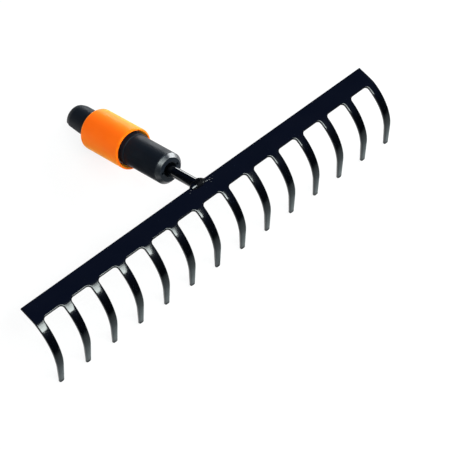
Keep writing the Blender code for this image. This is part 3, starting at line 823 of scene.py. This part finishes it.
def tongue_stations():
    """Places along the tongue, and how far its outline is drawn in at each."""
    lead = TONGUE_END - TONGUE_LEAD
    straight = lead - TONGUE_LEAD_BEND - SCARF_START
    stations = [(SCARF_START - 0.0015, 0.0)]
    stations += [(SCARF_START + straight * i / 24, 0.0) for i in range(25)]
    stations += [(lead - 0.0002, 0.00003), (lead + 0.0002, 0.00009),
                 (lead + TONGUE_LEAD_BEND, 0.00016)]
    stations += [(TONGUE_END - 0.0005, TONGUE_LEAD_DROP - 0.0001)]
    for i in range(1, 5):
        angle = math.pi / 2 * i / 4
        stations.append((TONGUE_END - TONGUE_EDGE * (1 - math.sin(angle)),
                         TONGUE_LEAD_DROP + TONGUE_EDGE * (1 - math.cos(angle))))
    return stations


def make_tongue():
    """Loft of the half-round tongue, with the well and hole of the lock pin."""
    shape = bmesh.new()
    rings = []
    for y, inset in tongue_stations():
        rings.append([shape.verts.new((x, y, z)) for x, z in tongue_section(y, inset)])
    for first, second in zip(rings, rings[1:]):
        for i in range(len(first)):
            j = (i + 1) % len(first)
            shape.faces.new((first[i], first[j], second[j], second[i]))
    shape.faces.new(rings[0])
    shape.faces.new(rings[-1])
    bmesh.ops.recalc_face_normals(shape, faces=shape.faces)
    mesh = mesh_from(shape, "tongue_moulding")
    tongue = add_piece("tongue_moulding", mesh, BLACK, upright(0))
    place = upright(LOCK_Y)
    drills = [cut(tongue, LOCK_PIN_RADIUS + CLEARANCE, 0.04,
                  place @ Matrix.Translation((0, 0, -0.02))),
              cut(tongue, LOCK_HEAD_RADIUS + CLEARANCE, 0.02,
                  place @ Matrix.Translation((0, 0, LOCK_SEAT)))]
    apply_cuts(tongue, drills)
    finish_piece(tongue, "head", "black_nylon")


# ------------------------------------------------------------------- sleeve

def make_sleeve():
    """The orange sleeve with its eased rims and the web inside."""
    web_bore = CORE_RADIUS + CLEARANCE
    start = WEB_START - SLEEVE_START
    end = WEB_END - SLEEVE_START
    corners = [(SLEEVE_BORE, SLEEVE_LENGTH, 0.00045), (SLEEVE_RADIUS, SLEEVE_LENGTH, 0.0009),
               (SLEEVE_RADIUS, 0, 0.0014), (SLEEVE_BORE, 0, 0.00035),
               (SLEEVE_BORE, start, 0.0004), (web_bore, start, 0.0003),
               (web_bore, end, 0.0003), (SLEEVE_BORE, end, 0.0004)]
    profile = [tuple(point) for point in rounded(corners, 6, closed=True)]
    mesh = turned("sleeve_moulding", profile, 160, closed=True, corners=corners)
    sleeve = add_piece("sleeve_moulding", mesh, ORANGE, along_handle(SLEEVE_START))
    even_normals(sleeve)
    finish_piece(sleeve, "sleeve", "orange_nylon", "release_sleeve")


def make_ramp():
    """The ramp inside the sleeve that holds the lock pin down."""
    foot = CORE_RADIUS + CLEARANCE
    grade = LOCK_LIFT / SLEEVE_TRAVEL
    end = SLEEVE_END - 0.0006
    top = SLEEVE_BORE + 0.0009
    side = [(LOCK_Y - RAMP_LEAD, foot), (LOCK_Y, foot), (end, foot + (end - LOCK_Y) * grade),
            (end, top), (LOCK_Y - RAMP_LEAD, top)]
    shape = bmesh.new()
    lower = [shape.verts.new((-RAMP_HALF_WIDTH, y, z)) for y, z in side]
    upper = [shape.verts.new((RAMP_HALF_WIDTH, y, z)) for y, z in side]
    shape.faces.new(lower)
    shape.faces.new(upper)
    for i in range(len(side)):
        j = (i + 1) % len(side)
        shape.faces.new((lower[i], lower[j], upper[j], upper[i]))
    bmesh.ops.recalc_face_normals(shape, faces=shape.faces)
    edges = [e for e in shape.edges if e.calc_face_angle(0) > math.radians(30)]
    bmesh.ops.bevel(shape, geom=edges, offset=RAMP_BEVEL, segments=3, affect="EDGES")
    ramp = add_piece("sleeve_ramp", mesh_from(shape, "sleeve_ramp"), ORANGE, upright(0))
    finish_piece(ramp, "sleeve", "orange_nylon")


# --------------------------------------------------- springs, ring and pins

def wire_mesh(name, points, wire):
    curve = bpy.data.curves.new(name, "CURVE")
    curve.dimensions = "3D"
    curve.bevel_depth = wire / 2
    curve.bevel_resolution = 3
    curve.use_fill_caps = True
    return curve_mesh(name, curve, points)


def coil(radius, wire, length, curls):
    """A compression spring with a closed curl at each end."""
    closed_rise = wire + CLOSED_CURL_GAP
    open_curls = curls - 2
    open_rise = (length - wire - 2 * closed_rise) / open_curls
    points = []
    steps = 32
    for i in range(curls * steps + 1):
        turn = i / steps
        closed = min(turn, 1.0) + max(turn - 1.0 - open_curls, 0.0)
        middle = min(max(turn - 1.0, 0.0), open_curls)
        height = wire / 2 + closed * closed_rise + middle * open_rise
        points.append((radius * math.cos(2 * math.pi * turn),
                       radius * math.sin(2 * math.pi * turn), height))
    return points


def make_spring():
    """The sleeve's spring between the shoulder and the web, drawn at rest, in a mesh of its own.
    """
    spring_length = WEB_START - SHOULDER - 2 * CLEARANCE
    spring_radius = (CORE_RADIUS + SLEEVE_BORE) / 2
    points = coil(spring_radius, SPRING_WIRE, spring_length, SPRING_CURLS)
    mesh = wire_mesh("sleeve_coil", points, SPRING_WIRE)
    spring = add_piece("sleeve_coil", mesh, WIRE, along_handle(SHOULDER + CLEARANCE), 60)
    finish_piece(spring, "head", "spring_steel", "sleeve_spring")
    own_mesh(spring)


def make_ring():
    """The open wire ring in its groove, which stops the web."""
    steps = 120
    turns = [math.radians(RING_START + RING_SWEEP * i / steps) for i in range(steps + 1)]
    radius = CORE_RADIUS + CLEARANCE
    ring_points = [(radius * math.cos(t), radius * math.sin(t), 0) for t in turns]
    mesh = wire_mesh("wire_ring", ring_points, RING_WIRE)
    ring = add_piece("wire_ring", mesh, WIRE, along_handle(RING_CENTRE), 60)
    finish_piece(ring, "head", "spring_steel", "retaining_ring")


def make_lock():
    """The lock pin with its domed head, and the spring that lifts it."""
    point = scarf_height(LOCK_Y) - LOCK_REACH
    corners = [(0, CORE_RADIUS, 0), (LOCK_HEAD_RADIUS * 0.6, CORE_RADIUS - 0.0003, 0.006),
               (LOCK_HEAD_RADIUS, CORE_RADIUS - 0.0007, 0.0002),
               (LOCK_HEAD_RADIUS, LOCK_UNDERSIDE, 0.0002),
               (LOCK_PIN_RADIUS, LOCK_UNDERSIDE, 0.0002),
               (LOCK_PIN_RADIUS, point, 0.0008), (0, point, 0)]
    profile = [tuple(p) for p in rounded(corners, 5)]
    pin = add_piece("turned_lock_pin", turned("turned_lock_pin", profile, 64), GROUND,
                    upright(LOCK_Y))
    finish_piece(pin, "lock_pin", "pin_steel", "lock_pin")

    points = coil(LOCK_SPRING_RADIUS, LOCK_SPRING_WIRE, LOCK_SPRING_LENGTH, LOCK_SPRING_CURLS)
    mesh = wire_mesh("lock_coil", points, LOCK_SPRING_WIRE)
    mesh.transform(upright(LOCK_Y) @ Matrix.Translation((0, 0, LOCK_SEAT + CLEARANCE)))
    small = add_piece("lock_coil", mesh, WIRE, Matrix.Identity(4), 60)
    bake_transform(small)
    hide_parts("lock_pin_spring")


def dress_cross_pin():
    cross_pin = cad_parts["tang_pin"]
    cross_pin.data.materials.clear()
    cross_pin.data.materials.append(GROUND)


# ------------------------------------------------------ table, light, camera

def sum_of(tree, outputs):
    """Adds outputs of a Light Path node, each with its weight."""
    total = None
    for output, weight in outputs:
        scaled = tree.nodes.new("ShaderNodeMath")
        scaled.operation = "MULTIPLY_ADD"
        scaled.inputs[1].default_value = weight
        scaled.inputs[2].default_value = 0.0
        tree.links.new(output, scaled.inputs[0])
        if total:
            tree.links.new(total, scaled.inputs[2])
        total = scaled.outputs["Value"]
    return total


def fade(tree, value, low, high, smooth=True):
    """0 at low, 1 at high, clamped; low may be the larger of the two."""
    node = tree.nodes.new("ShaderNodeMapRange")
    node.interpolation_type = "SMOOTHSTEP" if smooth else "LINEAR"
    node.inputs["From Min"].default_value = min(low, high)
    node.inputs["From Max"].default_value = max(low, high)
    node.inputs["To Min"].default_value = 0.0 if low < high else 1.0
    node.inputs["To Max"].default_value = 1.0 if low < high else 0.0
    tree.links.new(value, node.inputs["Value"])
    return node.outputs["Result"]


def maths(tree, operation, first, second):
    node = tree.nodes.new("ShaderNodeMath")
    node.operation = operation
    tree.links.new(first, node.inputs[0])
    tree.links.new(second, node.inputs[1])
    return node.outputs["Value"]


def product(tree, first, *others):
    for other in others:
        first = maths(tree, "MULTIPLY", first, other)
    return first


def mixed(tree, factor, first, second):
    """A colour between two, each a colour or a node's output."""
    node = tree.nodes.new("ShaderNodeMix")
    node.data_type = "RGBA"
    tree.links.new(factor, node.inputs["Factor"])
    for socket, colour in ((node.inputs[6], first), (node.inputs[7], second)):
        if isinstance(colour, bpy.types.NodeSocket):
            tree.links.new(colour, socket)
        else:
            socket.default_value = colour
    return node.outputs[2]


def mirrored_table_painted_shade(tree):
    """The table's colour as the paint mirrors it, with painted shade: it is painted dark
    towards its front, with a painted shadow of the coupling where the right light would
    throw one, painted shade under the coupling, far to its left and at a contact, and a
    greyer painted shade behind it."""
    place = tree.nodes.new("ShaderNodeSeparateXYZ")
    tree.links.new(tree.nodes.new("ShaderNodeNewGeometry").outputs["Position"], place.inputs[0])
    x, y = place.outputs["X"], place.outputs["Y"]
    # Painted shade: the mirrored table is painted dark towards its front
    front = tree.nodes.new("ShaderNodeValToRGB")
    tree.links.new(fade(tree, y, FRONT_START, FRONT_END, smooth=False), front.inputs[0])
    stops = front.color_ramp.elements
    for stop_y, white in FRONT_PAINTED_SHADE_STOPS:
        at = (stop_y - FRONT_START) / (FRONT_END - FRONT_START)
        stop = stops[0] if stop_y == FRONT_START else stops.new(at)
        stop.position = at
        stop.color = (white * 0.84, white * 0.98, white, 1)
    across = maths(tree, "ADD", x, y)
    apart = maths(tree, "SUBTRACT", x, y)
    # Painted shadow of the coupling, where the right light would throw it on the mirrored table
    shade = product(tree, fade(tree, across, -0.052, -0.034), fade(tree, across, 0.064, 0.052),
                    fade(tree, x, -0.008, -0.026))
    # Painted shade behind the coupling, on its right, standing in for the sleeve's shadow
    behind = product(tree, fade(tree, apart, -0.058, -0.074), fade(tree, x, 0.004, 0.016))
    # Painted shade under the coupling, where its shadow would lie
    under = product(tree, fade(tree, across, -0.118, -0.100), fade(tree, across, -0.050, -0.064),
                    fade(tree, x, 0.000, -0.012))
    # Painted shade far to the coupling's left, in the mirrored table
    painted_shade_far_left = product(tree, fade(tree, x, -0.08, -0.15), fade(tree, y, -0.03, 0.01))
    # Painted contact shadow, from an occlusion node, where the table meets the tines
    close = tree.nodes.new("ShaderNodeAmbientOcclusion")
    close.samples = 8
    close.inputs["Distance"].default_value = CONTACT_DISTANCE
    painted_contact_shadow = fade(tree, close.outputs["AO"], CONTACT_OPEN, CONTACT_CLOSED)
    shaded = mixed(tree, behind, front.outputs["Color"], PAINTED_SHADE_BEHIND_COLOUR)
    shaded = mixed(tree, under, shaded, PAINTED_SHADE_UNDER_COLOUR)
    shaded = mixed(tree, shade, shaded, PAINTED_SHADOW_COLOUR)
    shaded = mixed(tree, painted_shade_far_left, shaded, PAINTED_SHADOW_COLOUR)
    return mixed(tree, painted_contact_shadow, shaded, PAINTED_CONTACT_SHADOW_COLOUR)


def make_table():
    """A white sweep to the eye; to the paint it shows painted shade and shadows in places."""
    mesh = bpy.data.meshes.new("table")
    half = TABLE_HALF
    mesh.from_pydata([(-half, -half, 0), (half, -half, 0), (half, half, 0), (-half, half, 0)],
                     [], [(0, 1, 2, 3)])
    table = bpy.data.objects.new("table", mesh)
    bpy.context.scene.collection.objects.link(table)
    material = bpy.data.materials.new("white_table")
    material.use_nodes = True
    tree = material.node_tree
    surface = tree.nodes["Principled BSDF"]
    surface.inputs["Base Color"].default_value = (0.86, 0.86, 0.86, 1)
    surface.inputs["Roughness"].default_value = 0.9
    surface.inputs["Specular IOR Level"].default_value = 0.0
    path = tree.nodes.new("ShaderNodeLightPath")
    # To glossy rays the table shows its painted shade; to the eye it stays plain white
    seen = mixed(tree, path.outputs["Is Glossy Ray"], (1, 1, 1, 1), mirrored_table_painted_shade(tree))
    white = tree.nodes.new("ShaderNodeEmission")
    tree.links.new(seen, white.inputs["Color"])
    share = sum_of(tree, ((path.outputs["Is Camera Ray"], TABLE_WHITE),
                          (path.outputs["Is Glossy Ray"], 1.0),
                          (path.outputs["Is Transmission Ray"], 1.0)))
    mix = tree.nodes.new("ShaderNodeMixShader")
    tree.links.new(share, mix.inputs["Fac"])
    tree.links.new(surface.outputs["BSDF"], mix.inputs[1])
    tree.links.new(white.outputs["Emission"], mix.inputs[2])
    tree.links.new(mix.outputs["Shader"], tree.nodes["Material Output"].inputs["Surface"])
    mesh.materials.append(material)


def make_world():
    """White to the eye; to the paint a dark room under a faint blue ceiling."""
    world = bpy.data.worlds.new("studio")
    bpy.context.scene.world = world
    world.use_nodes = True
    tree = world.node_tree
    path = tree.nodes.new("ShaderNodeLightPath")
    way = tree.nodes.new("ShaderNodeSeparateXYZ")
    tree.links.new(tree.nodes.new("ShaderNodeTexCoord").outputs["Generated"], way.inputs[0])
    room = mixed(tree, fade(tree, way.outputs["Z"], 0.25, 1.0), ROOM_LOW, ROOM_HIGH)
    lit = mixed(tree, path.outputs["Is Glossy Ray"], FILL, room)
    eye = sum_of(tree, ((path.outputs["Is Camera Ray"], 1.0),
                        (path.outputs["Is Transmission Ray"], 1.0)))
    tree.links.new(mixed(tree, eye, lit, (1, 1, 1, 1)), tree.nodes["Background"].inputs["Color"])


def add_softbox(name, width, depth, place, aim, power, colour):
    light = bpy.data.lights.new(name, "AREA")
    light.shape = "RECTANGLE"
    light.size = width
    light.size_y = depth
    light.energy = power
    light.color = colour
    lamp = bpy.data.objects.new(name, light)
    bpy.context.scene.collection.objects.link(lamp)
    lamp.location = place
    lamp.rotation_euler = (Vector(aim) - Vector(place)).to_track_quat("-Z", "Y").to_euler()
    lamp.visible_camera = False
    return lamp


def make_lights():
    """Softboxes where their reflections in the paint and the mouldings place them.
    The key is four bands, and the stamped head is flagged from the right one."""
    for band, share in enumerate(KEY_BANDS):
        y = KEY_BACK - KEY_BAND_DEPTH * band
        add_softbox("key_softbox_%d" % band, 0.95, KEY_BAND_DEPTH, (KEY_X, y, 1.0),
                    (KEY_X, y + 0.0001, 0.0), KEY_POWER / len(KEY_BANDS) * share, KEY_COLOUR)
    add_softbox("back_strip", 1.05, 0.18, (1.04, 0.60, 0.12), HEAD_MIDDLE, 5.3, SIDE_COLOUR)
    side = add_softbox("right_softbox", 0.50, 0.85, (1.06, -0.34, 0.47), HEAD_MIDDLE, 21.5,
                       SIDE_COLOUR)
    flagged = bpy.data.collections.new("flagged_from_the_right")
    flagged.objects.link(bpy.data.objects["stamped_head"])
    side.light_linking.receiver_collection = flagged
    flagged.collection_objects[0].light_linking.link_state = "EXCLUDE"


def make_camera():
    """The photograph's view, fitted to the tines, the bar and the coupling."""
    data = bpy.data.cameras.new("camera")
    data.lens = LENS
    data.sensor_width = SENSOR_WIDTH
    data.clip_start = 0.05
    data.clip_end = 30.0
    camera = bpy.data.objects.new("camera", data)
    bpy.context.scene.collection.objects.link(camera)
    turn = Euler([math.radians(a) for a in CAMERA_TURN], "XYZ")
    place = Matrix.Translation(CAMERA_AT) @ turn.to_matrix().to_4x4()
    camera.matrix_world = HANDLE @ place
    bpy.context.scene.camera = camera


make_head()
make_tang()
make_bead()
make_spatter()
make_socket()
make_tongue()
make_sleeve()
make_ramp()
make_spring()
make_ring()
make_lock()
dress_cross_pin()
make_table()
make_world()
make_lights()
make_camera()
bpy.context.scene.view_settings.view_transform = "Standard"

bpy.context.view_layer.update()
